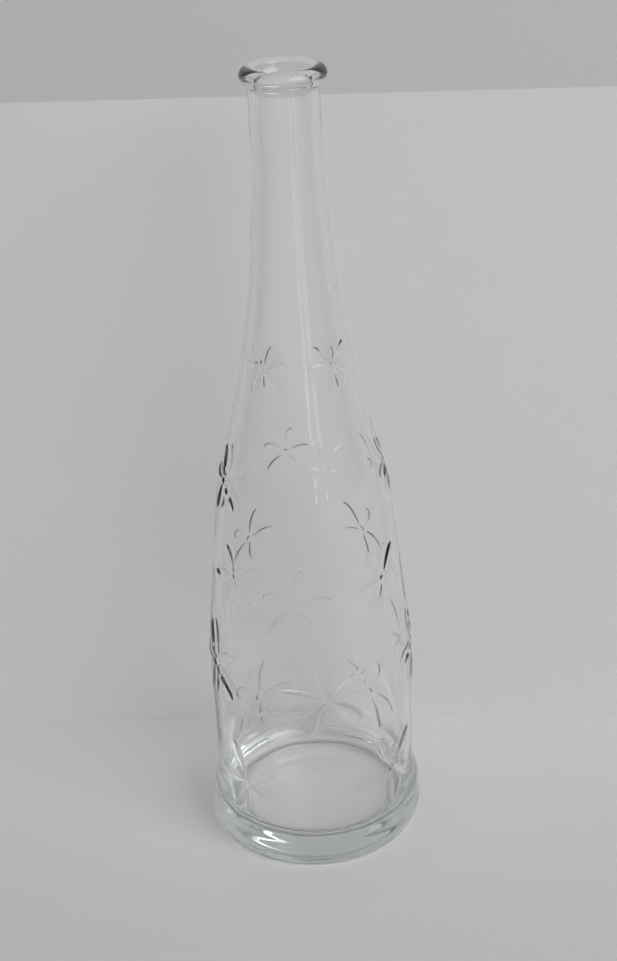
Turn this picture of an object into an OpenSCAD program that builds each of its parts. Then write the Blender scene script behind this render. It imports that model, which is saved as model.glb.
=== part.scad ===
// Clear glass oil bottle with a flared lip, a long sloping shoulder and embossed flowers.
// Millimetres, +Z up. The origin is the middle of the foot, on the surface that the bottle stands on.
// The front of the bottle faces -Y, and angles round it turn from the front towards +X.
// The glass is one moulding. It is divided into zones at level planes that meet face to face.

/* [Overall] */
// Height from the table to the top of the lip
total_h = 299; // [296:1:304]
// Thickness of the glass wall, measured level
wall_t = 2.95; // [2.4:0.05:3.2]

/* [Lip and neck] */
// Outside diameter of the lip at its widest
lip_d = 29.2; // [28:0.1:31]
// Radius of the lip's outer rounding
lip_round = 3; // [2.5:0.1:3.6]
// Height of the flared lip, down to where it joins the neck
lip_h = 7.5; // [7:0.1:9]
// Outside diameter of the neck under the lip
neck_top_d = 23.8; // [23.4:0.1:24.2]
// Outside diameter of the neck at its foot
neck_d = 24.4; // [24.2:0.1:25]
// Height at which the neck begins
neck_z = 265; // [262:1:268]

/* [Shoulder and body] */
// Outside diameter at the bottom of the shoulder
shoulder_d = 73.2; // [71:0.1:75]
// Height of the bottom of the shoulder
shoulder_z = 100; // [98:1:102]
// Outside diameter of the body at its fullest
body_d = 77.2; // [76:0.1:79]
// Outside diameter at the slight waist over the foot band
waist_d = 76.8; // [75:0.1:77]

/* [Foot and base] */
// Outside diameter of the foot band
foot_d = 82.2; // [82:0.1:84]
// Height at which the foot band starts to narrow
foot_z = 11; // [10:0.5:12.5]
// Height over which it narrows to the waist
foot_step_h = 16; // [14:0.5:18]
// Radius of the heel, where the foot band turns under
heel_r = 4.5; // [4:0.1:5]
// Thickness of the base near its edge
base_t = 8.5; // [7.5:0.1:9.5]
// Radius of the inside corner between the wall and the floor
floor_corner_r = 8.5; // [7:0.1:9]
// Rise of the floor from its edge to its middle
floor_rise = 1; // [0.5:0.1:2]
// Depth of the hollow under the base
punt_depth = 2.5; // [1.5:0.1:3.5]
// Diameter of the hollow under the base
punt_d = 71; // [66:0.5:71]

/* [Flowers] */
// Height of the petals above the wall
relief_h = 0.6; // [0.5:0.1:1]
// Width of a petal over the radius of its flower
petal_aspect = 0.35; // [0.2:0.01:0.4]

/* [Hidden] */
bore_r = neck_d / 2 - wall_t;
lip_z = total_h - lip_h;
lip_r = lip_d / 2;
foot_r = foot_d / 2;
arc_steps = 8;
arc_fn = 160;
grid = 5;
relief_reach = 3;

// The wall's outside radius at chosen heights, with a smooth curve through them
stations = [
    [foot_z + foot_step_h, waist_d / 2],
    [45, waist_d / 2],
    [65, body_d / 2],
    [85, body_d / 2 - 0.5],
    [shoulder_z, shoulder_d / 2],
    [125, 34],
    [150, 30.6],
    [175, 24.3],
    [200, 19.1],
    [225, 15.4],
    [250, 13.1],
    [neck_z, neck_d / 2]
];
last = len(stations) - 1;

// Slope of the curve at station i
function slope(i) = i == 0 || i == last ? 0 :
    (stations[i + 1][1] - stations[i - 1][1]) / (stations[i + 1][0] - stations[i - 1][0]);

// Station at or below height z
function station(z, i = 0) = i >= last - 1 || z < stations[i + 1][0] ? i : station(z, i + 1);

// Cubic curve between two stations, t from 0 to 1
function cubic(r0, r1, m0, m1, t) =
    (2 * t ^ 3 - 3 * t ^ 2 + 1) * r0 + (t ^ 3 - 2 * t ^ 2 + t) * m0
    + (3 * t ^ 2 - 2 * t ^ 3) * r1 + (t ^ 3 - t ^ 2) * m1;

function wall_r(z, i) = let(h = stations[i + 1][0] - stations[i][0])
    cubic(stations[i][1], stations[i + 1][1], slope(i) * h, slope(i + 1) * h, (z - stations[i][0]) / h);

// Smooth step from 0 to 1
function ease(t) = (1 - cos(180 * t)) / 2;

// Outside radius at any height between the heel and the lip
function outer_r(z) =
    z <= foot_z ? foot_r :
    z < foot_z + foot_step_h ? foot_r - (foot_r - waist_d / 2) * ease((z - foot_z) / foot_step_h) :
    wall_r(z, station(z));

// Inside radius: in the foot band it widens half as much as the outside, so the glass is thicker there
function inner_r(z) = (z < foot_z + foot_step_h ? (outer_r(z) + waist_d / 2) / 2 : outer_r(z)) - wall_t;

// Heights from a to b at which the outline has a point
function levels(a, b) = concat(
    [a],
    [for (z = [foot_z : 2 : foot_z + foot_step_h]) if (z > a && z < b) z],
    [for (z = [ceil((foot_z + foot_step_h + 1) / grid) * grid : grid : neck_z]) if (z > a && z < b) z],
    [b]
);

// Level zones, from the foot to the lip
floor_z = base_t + floor_corner_r;
body_z = 60;
slope_z = 170;

// Flowers from the foot up: angle round the bottle, height, radius and turn
flowers = [
    [-44, 32, 17, 39],
    [49, 34, 16.5, 40],
    [139, 34, 16, 39],
    [219, 33, 16, 37],
    [8, 76, 17, 28],
    [92, 76, 15.5, 38],
    [189, 71, 15.5, 30],
    [289, 78, 15.5, 34],
    [-49, 117, 14, 40],
    [51, 117, 12.5, 47],
    [137, 112, 12, 47],
    [222, 110, 11.5, 36],
    [17, 164, 10, 39],
    [99, 152, 11, 42],
    [192, 145, 10, 29],
    [288, 153, 12, 34],
    [-39, 198, 8.5, 36],
    [39, 199, 9, 40],
    [141, 186, 8.5, 40],
    [219, 185, 8.5, 36]
];

function flower_name(i) = str("flower_", i < 9 ? "0" : "", i + 1);

ZONES = ["base", "foot_band", "body_lower", "body_upper", "shoulder_lower", "shoulder_upper", "neck", "lip"];
FLOWERS = [for (i = [0 : len(flowers) - 1]) flower_name(i)];

glass = [0.86, 0.9, 0.88, 0.45];

// Ring of wall between two heights
module wall_ring(a, b) {
    up = levels(a, b);
    outside = [for (z = up) [outer_r(z), z]];
    inside = [for (i = [len(up) - 1 : -1 : 0]) [inner_r(up[i]), up[i]]];
    rotate_extrude($fn = arc_fn) polygon(concat(outside, inside));
}

// Thick floor with a rounded heel and a shallow hollow underneath
module base() {
    heel = [for (i = [0 : arc_steps]) let(a = 90 * i / arc_steps)
        [foot_r - heel_r + heel_r * sin(a), heel_r - heel_r * cos(a)]];
    corner_c = inner_r(floor_z) - floor_corner_r;
    corner = [for (i = [0 : arc_steps]) let(a = 90 * i / arc_steps)
        [corner_c + floor_corner_r * cos(a), floor_z - floor_corner_r * sin(a)]];
    floor_top = [for (i = [1 : arc_steps]) let(t = i / arc_steps)
        [corner_c * (1 - t), base_t + floor_rise * ease(t)]];
    punt = [for (i = [0 : arc_steps]) let(t = i / arc_steps)
        [punt_d / 2 * t, punt_depth * (1 - ease(t))]];
    side = [for (z = levels(foot_z, floor_z)) [outer_r(z), z]];
    color(glass) rotate_extrude($fn = arc_fn) polygon(concat(punt, heel, side, corner, floor_top));
}

// Wider band round the foot, easing in to the waist
module foot_band() color(glass) wall_ring(floor_z, foot_z + foot_step_h);

module body_lower() color(glass) wall_ring(foot_z + foot_step_h, body_z);

module body_upper() color(glass) wall_ring(body_z, shoulder_z);

module shoulder_lower() color(glass) wall_ring(shoulder_z, slope_z);

module shoulder_upper() color(glass) wall_ring(slope_z, neck_z);

// Slightly tapered neck with the straight cork bore
module neck() color(glass) rotate_extrude($fn = arc_fn)
    polygon([[bore_r, neck_z], [neck_d / 2, neck_z], [neck_top_d / 2, lip_z], [bore_r, lip_z]]);

// Flared lip, rounded outside and in at the mouth
module lip() {
    widest_z = total_h - lip_round;
    crown_r = lip_r - lip_round;
    mouth_round = crown_r - bore_r;
    flare = [for (i = [0 : arc_steps]) let(t = i / arc_steps)
        [neck_top_d / 2 + (lip_r - neck_top_d / 2) * ease(t), lip_z + (widest_z - lip_z) * t]];
    crown = [for (i = [1 : arc_steps]) let(a = 90 * i / arc_steps)
        [crown_r + lip_round * cos(a), widest_z + lip_round * sin(a)]];
    mouth = [for (i = [1 : arc_steps]) let(a = 90 * i / arc_steps)
        [crown_r - mouth_round * sin(a), total_h - mouth_round + mouth_round * cos(a)]];
    color(glass) rotate_extrude($fn = arc_fn) polygon(concat(flare, crown, mouth, [[bore_r, lip_z]]));
}

// Solid of the bottle's outside between two heights, grown by a layer
module outside_solid(a, b, layer) {
    up = levels(a, b);
    rotate_extrude($fn = arc_fn) polygon(concat([[0, a]], [for (z = up) [outer_r(z) + layer, z]], [[0, b]]));
}

// Puts its children on the wall, drawn flat with +Y up the wall, at level distance u and climb v from a point
module on_wall(angle, z, u, v) {
    level = z + v;
    r = outer_r(level);
    lean = atan((outer_r(level - 1) - outer_r(level + 1)) / 2);
    rotate([0, 0, angle + u / r * 180 / PI]) translate([0, -r, level]) rotate([90 - lean, 0, 0]) children();
}

// Prism through the wall, pointed oval in plan: where two cylinders cross
module petal_prism(length, width) {
    arc_r = (length ^ 2 + width ^ 2) / (4 * width);
    intersection_for (side = [-1, 1])
        translate([0, side * (arc_r - width / 2), -relief_reach])
            cylinder(h = 2 * relief_reach, r = arc_r, $fn = arc_fn);
}

// Flower of five petals round a button, in a layer relief_h thick on the wall
module flower(f) {
    reach = f[2] + 2;
    mid = f[2] * 0.57;
    color(glass) difference() {
        intersection() {
            union() {
                for (k = [0 : 4]) {
                    a = f[3] + 72 * k;
                    on_wall(f[0], f[1], mid * cos(a), mid * sin(a)) rotate([0, 0, a])
                        petal_prism(f[2], f[2] * petal_aspect);
                }
                on_wall(f[0], f[1], 0, 0) cylinder(h = 2 * relief_reach, r = f[2] * 0.1, center = true, $fn = 48);
            }
            outside_solid(f[1] - reach, f[1] + reach, relief_h);
        }
        outside_solid(f[1] - reach, f[1] + reach, 0);
    }
}

base();
foot_band();
body_lower();
body_upper();
shoulder_lower();
shoulder_upper();
neck();
lip();
for (i = [0 : len(flowers) - 1])
    flower(flowers[i]);
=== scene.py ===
"""Looks for the glass oil bottle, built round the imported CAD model. Lengths are metres, angles degrees.

The glass is one closed skin: an outer surface with the embossed flowers, a rounded lip, a smooth inside and
a thick base. Its outline and the flowers' places are read from the CAD nodes.
Angles round the bottle turn from the front, -Y, towards +X.
"""

import math

import bpy
import numpy as np
from mathutils import Matrix, Vector


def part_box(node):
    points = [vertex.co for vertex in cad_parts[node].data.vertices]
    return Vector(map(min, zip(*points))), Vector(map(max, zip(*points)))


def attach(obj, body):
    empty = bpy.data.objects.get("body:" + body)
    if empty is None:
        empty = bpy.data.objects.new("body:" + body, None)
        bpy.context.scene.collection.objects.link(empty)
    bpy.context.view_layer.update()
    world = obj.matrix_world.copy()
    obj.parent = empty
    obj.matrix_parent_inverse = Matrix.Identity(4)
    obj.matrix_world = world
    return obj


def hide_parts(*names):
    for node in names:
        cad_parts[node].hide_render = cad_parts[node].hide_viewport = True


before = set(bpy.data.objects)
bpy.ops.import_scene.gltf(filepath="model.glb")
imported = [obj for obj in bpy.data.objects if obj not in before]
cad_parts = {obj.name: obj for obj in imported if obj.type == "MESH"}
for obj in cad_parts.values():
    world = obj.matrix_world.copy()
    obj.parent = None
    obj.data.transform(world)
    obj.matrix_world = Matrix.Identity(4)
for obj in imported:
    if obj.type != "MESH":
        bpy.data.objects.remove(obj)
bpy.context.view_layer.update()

MM = 0.001
RINGS = ["foot_band", "body_lower", "body_upper", "shoulder_lower", "shoulder_upper", "neck"]

# Foot and base. The hollow, its edge and the floor's corner are fitted to how the base refracts
HEEL_R = 4.5 * MM
FOOT_Z = 11 * MM
PUNT_R = 36.2 * MM
PUNT_DEPTH = 2.5 * MM
BASE_T = 8.5 * MM
FLOOR_CORNER_R = 8 * MM
FLOOR_RISE = 1 * MM
FOOT_RIPPLE = 0.15 * MM
RIPPLE_WAVE = 0.9 * MM
RIPPLE_TOP = 18 * MM
RIPPLE_FADE = 12 * MM
HEEL_FADE = 2 * MM

LIP_ROUND = 3 * MM
INSIDE_WAVE = 0.03 * MM

# Embossed flowers. Numbers without a unit are shares of the flower's radius or of a petal's length
RELIEF_H = 0.6 * MM
RELIEF_FILLET = 0.12 * MM
PETALS = 5
BUTTON = 0.11
PETAL_ASPECT = 0.36
PETAL_FULLEST = 0.66
PETAL_CROWN = 0.75
PETAL_START = 0.07
TIP_OVERHANG = 1.07

# Mesh fineness
COLUMNS = 720
RELIEF_STEP = 0.45 * MM
PLAIN_STEP = 1.2 * MM


def node_points(name):
    """Vertices of a CAD node as an array."""
    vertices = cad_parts[name].data.vertices
    points = np.zeros(len(vertices) * 3)
    vertices.foreach_get("co", points)
    return points.reshape(-1, 3)


def ring_outline():
    """Heights of the wall's rings, with the outside and the inside radius at each."""
    rings = {}
    for name in RINGS:
        points = node_points(name)
        radius = np.hypot(points[:, 0], points[:, 1])
        height = np.round(points[:, 2], 5)
        levels, counts = np.unique(height, return_counts=True)
        for z in levels[counts > 0.5 * counts.max()]:
            here = radius[height == z]
            rings[z] = (here.max(), here.min())
    heights = sorted(rings)
    return np.array(heights), *np.array([rings[z] for z in heights]).T


def smooth(z, levels, radii):
    """Radius at heights z on a smooth curve through the rings."""
    slopes = np.gradient(radii, levels)
    i = np.clip(np.searchsorted(levels, z) - 1, 0, len(levels) - 2)
    h = levels[i + 1] - levels[i]
    t = (z - levels[i]) / h
    return (
        (2 * t**3 - 3 * t**2 + 1) * radii[i]
        + (t**3 - 2 * t**2 + t) * h * slopes[i]
        + (3 * t**2 - 2 * t**3) * radii[i + 1]
        + (t**3 - t**2) * h * slopes[i + 1]
    )


def ease(t):
    """Smooth step from 0 to 1."""
    t = np.clip(t, 0, 1)
    return (1 - np.cos(math.pi * t)) / 2


def arc(centre_r, centre_z, radius, start, end, steps):
    """Points of an arc in the outline's plane, as columns of radius and height."""
    a = np.radians(np.linspace(start, end, steps))
    return np.column_stack([centre_r + radius * np.cos(a), centre_z + radius * np.sin(a)])


def steps(a, b, step):
    """Evenly spaced heights from a up to, but not at, b."""
    return np.linspace(a, b, max(2, int(round(abs(b - a) / step)) + 1))[:-1]


levels, ring_out, ring_in = ring_outline()
FOOT_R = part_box("base")[1].x
LIP_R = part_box("lip")[1].x
LIP_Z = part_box("lip")[0].z
TOP_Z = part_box("lip")[1].z
RING_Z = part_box("base")[1].z
BORE_R = ring_in[-1]


def outer_outline():
    """Outline of the outside, from the middle of the hollow underneath to the crown of the lip."""
    t = np.linspace(0, 1, 24)[:-1]
    punt = np.column_stack([PUNT_R * t, PUNT_DEPTH * (1 - ease(t))])
    ring = np.column_stack([np.linspace(PUNT_R, FOOT_R - HEEL_R, 5)[:-1], np.zeros(4)])
    heel = arc(FOOT_R - HEEL_R, HEEL_R, HEEL_R, -90, 0, 20)
    z = np.concatenate([
        steps(HEEL_R, FOOT_Z, PLAIN_STEP)[1:],
        steps(FOOT_Z, relief_top, RELIEF_STEP),
        steps(relief_top, LIP_Z, PLAIN_STEP),
    ])
    straight = [0, FOOT_Z]
    r = smooth(z, np.insert(levels, [0, 0], straight), np.insert(ring_out, [0, 0], FOOT_R))
    wall = np.column_stack([r, z])
    t = np.linspace(0, 1, 16)[:-1]
    widest_z = TOP_Z - LIP_ROUND
    flare = np.column_stack([
        ring_out[-1] + (LIP_R - ring_out[-1]) * ease(t),
        LIP_Z + (widest_z - LIP_Z) * t,
    ])
    crown = arc(LIP_R - LIP_ROUND, widest_z, LIP_ROUND, 0, 90, 14)
    return np.vstack([punt, ring, heel, wall, flare, crown])


def inner_outline():
    """Outline of the inside, from the mouth down to the middle of the floor."""
    mouth_r = LIP_R - LIP_ROUND - BORE_R
    mouth = arc(LIP_R - LIP_ROUND, TOP_Z - mouth_r, mouth_r, 90, 180, 12)[1:]
    corner_z = BASE_T + FLOOR_CORNER_R
    z = steps(TOP_Z - mouth_r, corner_z, 2 * MM)[1:]
    r = smooth(np.clip(z, levels[0], levels[-1]), levels, ring_in)
    corner_r = ring_in[0] - FLOOR_CORNER_R
    corner = arc(corner_r, corner_z, FLOOR_CORNER_R, 0, -90, 12)
    t = np.linspace(0, 1, 24)[1:]
    floor = np.column_stack([corner_r * (1 - t), BASE_T + FLOOR_RISE * ease(t)])
    return np.vstack([mouth, np.column_stack([r, z]), corner, floor])


def read_flower(name):
    """Angle, height, radius and turn of an embossed flower, measured on its CAD node."""
    points = node_points(name)
    low, high = points[:, 2].min(), points[:, 2].max()
    middle = points.mean(0)
    angle = math.atan2(middle[0], -middle[1])
    height = (low + high) / 2
    for _ in range(4):
        across = (np.arctan2(points[:, 0], -points[:, 1]) - angle + math.pi) % (2 * math.pi) - math.pi
        u = across * np.hypot(points[:, 0], points[:, 1])
        v = points[:, 2] - height
        reach = np.hypot(u, v)
        tips = reach > 0.93 * reach.max()
        turned = np.exp(1j * PETALS * np.arctan2(v, u))[tips].mean()
        turn = math.atan2(turned.imag, turned.real) / PETALS
        petal = np.round((np.arctan2(v, u) - turn) / (2 * math.pi / PETALS)) % PETALS
        ends = [
            (u[petal == k][reach[petal == k].argmax()], v[petal == k][reach[petal == k].argmax()])
            for k in range(PETALS)
        ]
        shift_u, shift_v = np.mean(ends, 0)
        height += shift_v
        angle += shift_u / np.hypot(middle[0], middle[1])
    radius = np.mean([math.hypot(*end) for end in ends]) / TIP_OVERHANG
    return angle, height, radius, turn


flowers = [read_flower(name) for name in sorted(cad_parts) if name.startswith("flower_")]
relief_top = max(height + 1.1 * radius for _, height, radius, _ in flowers)


def petal_height(p, q, length, width):
    """Height of a drop-shaped petal from 0 to 1, at p from its inner end and q across it."""
    t = np.clip(p / length, 0, 1)
    stem = np.sin(np.clip(t / PETAL_FULLEST, 0, 1) * math.pi / 2) ** 1.2
    tip = np.sqrt(1 - np.clip((t - PETAL_FULLEST) / (1 - PETAL_FULLEST), 0, 1) ** 2)
    half = np.maximum(width / 2 * stem * tip, 1e-6)
    inside = np.where((p > 0) & (p < length), 1 - (q / half) ** 2, 0)
    return np.maximum(inside, 0) ** PETAL_CROWN * (stem * tip) ** 0.5


def relief(angle, z, r):
    """Height of the embossing at points of the outside."""
    h = np.zeros_like(z)
    for flower_angle, height, radius, turn in flowers:
        v = z - height
        u = ((angle - flower_angle + math.pi) % (2 * math.pi) - math.pi) * r
        near = (np.abs(v) < 1.15 * radius) & (np.abs(u) < 1.15 * radius)
        u, v = u[near], v[near]
        best = np.maximum(1 - (np.hypot(u, v) / (BUTTON * radius)) ** 2, 0)
        for k in range(PETALS):
            a = turn + k * 2 * math.pi / PETALS
            p = u * math.cos(a) + v * math.sin(a) - PETAL_START * radius
            q = v * math.cos(a) - u * math.sin(a)
            best = np.maximum(best, petal_height(p, q, radius, radius * PETAL_ASPECT))
        h[near] = np.maximum(h[near], np.hypot(best * RELIEF_H, RELIEF_FILLET) - RELIEF_FILLET)
    return np.where(z > FOOT_Z, h, 0)


def outside_detail(angle, z, r):
    """The embossing, with faint level ripples in the thick glass round the foot."""
    round_foot = ease((RIPPLE_TOP - z) / RIPPLE_FADE) * ease(z / HEEL_FADE) * (r > PUNT_R)
    return relief(angle, z, r) + FOOT_RIPPLE * round_foot * np.sin(z / RIPPLE_WAVE + 0.6 * np.sin(2 * angle))


def unevenness(angle, z, r):
    """Slight waves of the blown inside, which die out at the floor and at the mouth."""
    wave = np.sin(3 * angle + z / (50 * MM)) + 0.6 * np.sin(7 * angle + 1 - z / (90 * MM))
    fade = ease((z - RING_Z) / (20 * MM)) * ease((LIP_Z - z) / (40 * MM))
    return INSIDE_WAVE * wave * fade


def revolve(outline, raised):
    """Grid of points from an outline turned round the axis, a row per point, with a raised pattern added."""
    r, z = outline[:, 0], outline[:, 1]
    angle, r_grid = np.meshgrid(np.arange(COLUMNS) * 2 * math.pi / COLUMNS, r)
    z_grid = np.repeat(z[:, None], COLUMNS, 1)
    dr, dz = np.gradient(r), np.gradient(z)
    length = np.hypot(dr, dz)
    h = raised(angle, z_grid, r_grid)
    r_grid = r_grid + h * (dz / length)[:, None]
    z_grid = z_grid - h * (dr / length)[:, None]
    return np.stack([r_grid * np.sin(angle), -r_grid * np.cos(angle), z_grid], -1)


def closed_skin(name):
    """The bottle's glass as one closed mesh: outside and inside joined over the lip."""
    outer, inner = outer_outline(), inner_outline()
    under, floor = outer[0], inner[-1]
    rows = np.concatenate([revolve(outer[1:], outside_detail), revolve(inner[:-1], unevenness)])
    count = len(rows)
    points = np.vstack([rows.reshape(-1, 3), [[0, 0, under[1]], [0, 0, floor[1]]]])
    first, last = count * COLUMNS, count * COLUMNS + 1
    row, column = np.meshgrid(np.arange(count - 1), np.arange(COLUMNS), indexing="ij")
    a = (row * COLUMNS + column).ravel()
    b = (row * COLUMNS + (column + 1) % COLUMNS).ravel()
    quads = np.column_stack([a, b, b + COLUMNS, a + COLUMNS])
    c = np.arange(COLUMNS)
    d = (c + 1) % COLUMNS
    top = (count - 1) * COLUMNS
    fans = np.vstack([
        np.column_stack([np.full(COLUMNS, first), d, c]),
        np.column_stack([np.full(COLUMNS, last), top + c, top + d]),
    ])
    mesh = bpy.data.meshes.new(name)
    corners = np.concatenate([quads.ravel(), fans.ravel()])
    sizes = np.concatenate([np.full(len(quads), 4), np.full(len(fans), 3)])
    mesh.vertices.add(len(points))
    mesh.vertices.foreach_set("co", points.ravel())
    mesh.loops.add(len(corners))
    mesh.loops.foreach_set("vertex_index", corners)
    mesh.polygons.add(len(sizes))
    mesh.polygons.foreach_set("loop_start", np.concatenate([[0], np.cumsum(sizes)[:-1]]))
    mesh.polygons.foreach_set("use_smooth", np.ones(len(sizes), bool))
    mesh.update(calc_edges=True)
    mesh.validate()
    skin = bpy.data.objects.new(name, mesh)
    bpy.context.scene.collection.objects.link(skin)
    return skin


def new_material(name):
    """Empty node material: returns it, its node tree's nodes and links, and its output."""
    material = bpy.data.materials.new(name)
    material.use_nodes = True
    nodes = material.node_tree.nodes
    nodes.clear()
    return material, nodes, material.node_tree.links, nodes.new("ShaderNodeOutputMaterial")


def clear_glass():
    """Clear moulded glass with a faint waviness, very slightly grey-green in depth."""
    material, nodes, links, output = new_material("clear_glass")
    glass = nodes.new("ShaderNodeBsdfPrincipled")
    glass.inputs["Base Color"].default_value = (1, 1, 1, 1)
    glass.inputs["Transmission Weight"].default_value = 1
    glass.inputs["IOR"].default_value = 1.5
    glass.inputs["Roughness"].default_value = 0
    wave = nodes.new("ShaderNodeTexNoise")
    wave.inputs["Scale"].default_value = 60
    wave.inputs["Detail"].default_value = 1
    place = nodes.new("ShaderNodeTexCoord")
    links.new(place.outputs["Object"], wave.inputs["Vector"])
    bump = nodes.new("ShaderNodeBump")
    bump.inputs["Strength"].default_value = 0.25
    bump.inputs["Distance"].default_value = 0.3 * MM
    links.new(wave.outputs["Fac"], bump.inputs["Height"])
    links.new(bump.outputs["Normal"], glass.inputs["Normal"])
    links.new(glass.outputs["BSDF"], output.inputs["Surface"])
    depth = nodes.new("ShaderNodeVolumeAbsorption")
    depth.inputs["Color"].default_value = (0.72, 0.79, 0.76, 1)
    depth.inputs["Density"].default_value = 9
    links.new(depth.outputs["Volume"], output.inputs["Volume"])
    return material


def paper(name, colour, one_sided=False):
    """Matt white paper. A one-sided sheet can't be seen from behind."""
    material, nodes, links, output = new_material(name)
    sheet = nodes.new("ShaderNodeBsdfPrincipled")
    sheet.inputs["Base Color"].default_value = (*colour, 1)
    sheet.inputs["Roughness"].default_value = 0.8
    sheet.inputs["Specular IOR Level"].default_value = 0.2
    if one_sided:
        geometry = nodes.new("ShaderNodeNewGeometry")
        clear = nodes.new("ShaderNodeBsdfTransparent")
        mix = nodes.new("ShaderNodeMixShader")
        links.new(geometry.outputs["Backfacing"], mix.inputs["Fac"])
        links.new(sheet.outputs["BSDF"], mix.inputs[1])
        links.new(clear.outputs["BSDF"], mix.inputs[2])
        links.new(mix.outputs["Shader"], output.inputs["Surface"])
    else:
        links.new(sheet.outputs["BSDF"], output.inputs["Surface"])
    return material


def flat_sheet(name, corners, material):
    """Flat stage sheet with the given corners, front side seen anticlockwise."""
    mesh = bpy.data.meshes.new(name)
    mesh.from_pydata(corners, [], [range(len(corners))])
    sheet = bpy.data.objects.new(name, mesh)
    sheet.data.materials.append(material)
    bpy.context.scene.collection.objects.link(sheet)
    return sheet


def area_light(name, place, aim, size, power):
    """Soft rectangular light at a place, turned to a point."""
    light = bpy.data.lights.new(name, "AREA")
    light.shape = "RECTANGLE"
    light.size, light.size_y = size
    light.energy = power
    lamp = bpy.data.objects.new(name, light)
    lamp.location = place
    lamp.rotation_mode = "QUATERNION"
    lamp.rotation_quaternion = (Vector(aim) - Vector(place)).to_track_quat("-Z", "Y")
    bpy.context.scene.collection.objects.link(lamp)
    return lamp


def add_camera():
    """Camera over the front edge of the table, looking down at the bottle."""
    data = bpy.data.cameras.new("camera")
    data.sensor_width = 36
    data.lens = 63.1
    camera = bpy.data.objects.new("camera", data)
    pitch, yaw, roll = math.radians(27.13), math.radians(0.23), math.radians(-2.67)
    look = Vector((math.sin(yaw) * math.cos(pitch), math.cos(yaw) * math.cos(pitch), -math.sin(pitch)))
    side = look.cross(Vector((0, 0, 1))).normalized()
    up = side.cross(look)
    right = math.cos(roll) * side + math.sin(roll) * up
    top = math.cos(roll) * up - math.sin(roll) * side
    turn = Matrix((right, top, -look)).transposed()
    camera.matrix_world = Matrix.Translation((0, -0.55, 0.4283)) @ turn.to_4x4()
    bpy.context.scene.collection.objects.link(camera)
    bpy.context.scene.camera = camera


def upright(name, y, skew, half, height, material):
    """Upright stage sheet that faces the front, turned slightly by the skew."""
    left_y, right_y = y + half * skew, y - half * skew
    flat_sheet(name, [
        (-half, left_y, 0), (half, right_y, 0), (half, right_y, height), (-half, left_y, height),
    ], material)


def add_stage():
    """Pale paper floor, a pale sheet on end close behind the bottle, and a plain wall further back."""
    half = 0.9
    wall_y = 0.45
    white = (0.78, 0.78, 0.785)
    flat_sheet("floor", [
        (-half, -half, 0), (half, -half, 0), (half, wall_y, 0), (-half, wall_y, 0),
    ], paper("floor_paper", white))
    upright("back_sheet", 0.0585, 0.08, 0.3, 0.274, paper("back_paper", white, one_sided=True))
    upright("wall", wall_y, 0, half, 1.2, paper("wall_paint", (0.66, 0.67, 0.65), one_sided=True))


def direction(azimuth, elevation, distance, height=0):
    """Place seen from the bottle's axis at a height: azimuth from the front towards +X, in degrees."""
    a, e = math.radians(azimuth), math.radians(elevation)
    flat = distance * math.cos(e)
    return (flat * math.sin(a), -flat * math.cos(a), height + distance * math.sin(e))


def add_room():
    """Room light, bright in front and dim behind."""
    front_y, back_y = -1, 0.6
    front_strength, back_strength = 0.55, 0.04
    world = bpy.data.worlds.new("room")
    world.use_nodes = True
    nodes, links = world.node_tree.nodes, world.node_tree.links
    nodes["Background"].inputs["Color"].default_value = (1, 1, 1, 1)
    place = nodes.new("ShaderNodeTexCoord")
    split = nodes.new("ShaderNodeSeparateXYZ")
    shade = nodes.new("ShaderNodeMapRange")
    shade.inputs["From Min"].default_value = front_y
    shade.inputs["From Max"].default_value = back_y
    shade.inputs["To Min"].default_value = front_strength
    shade.inputs["To Max"].default_value = back_strength
    links.new(place.outputs["Generated"], split.inputs["Vector"])
    links.new(split.outputs["Y"], shade.inputs["Value"])
    links.new(shade.outputs["Result"], nodes["Background"].inputs["Strength"])
    bpy.context.scene.world = world


def add_lights():
    """A large soft key light from the front right, and two narrow window edges beside the camera."""
    aim = (0, 0, 0.15)
    area_light("key", direction(43, 41, 2.6, aim[2]), aim, (1.6, 1.6), 26)
    for name, azimuth in (("window_a", 17), ("window_b", 31)):
        area_light(name, direction(azimuth, 0, 0.6, aim[2]), aim, (0.015, 0.075), 0.014)


glass = closed_skin("bottle_glass")
glass.data.materials.append(clear_glass())
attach(glass, "root")
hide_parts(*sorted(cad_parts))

add_stage()
add_room()
add_lights()
add_camera()
scene = bpy.context.scene
scene.view_settings.view_transform = "Standard"
scene.cycles.max_bounces = 40
scene.cycles.transmission_bounces = 40
scene.cycles.glossy_bounces = 16
scene.cycles.blur_glossy = 0
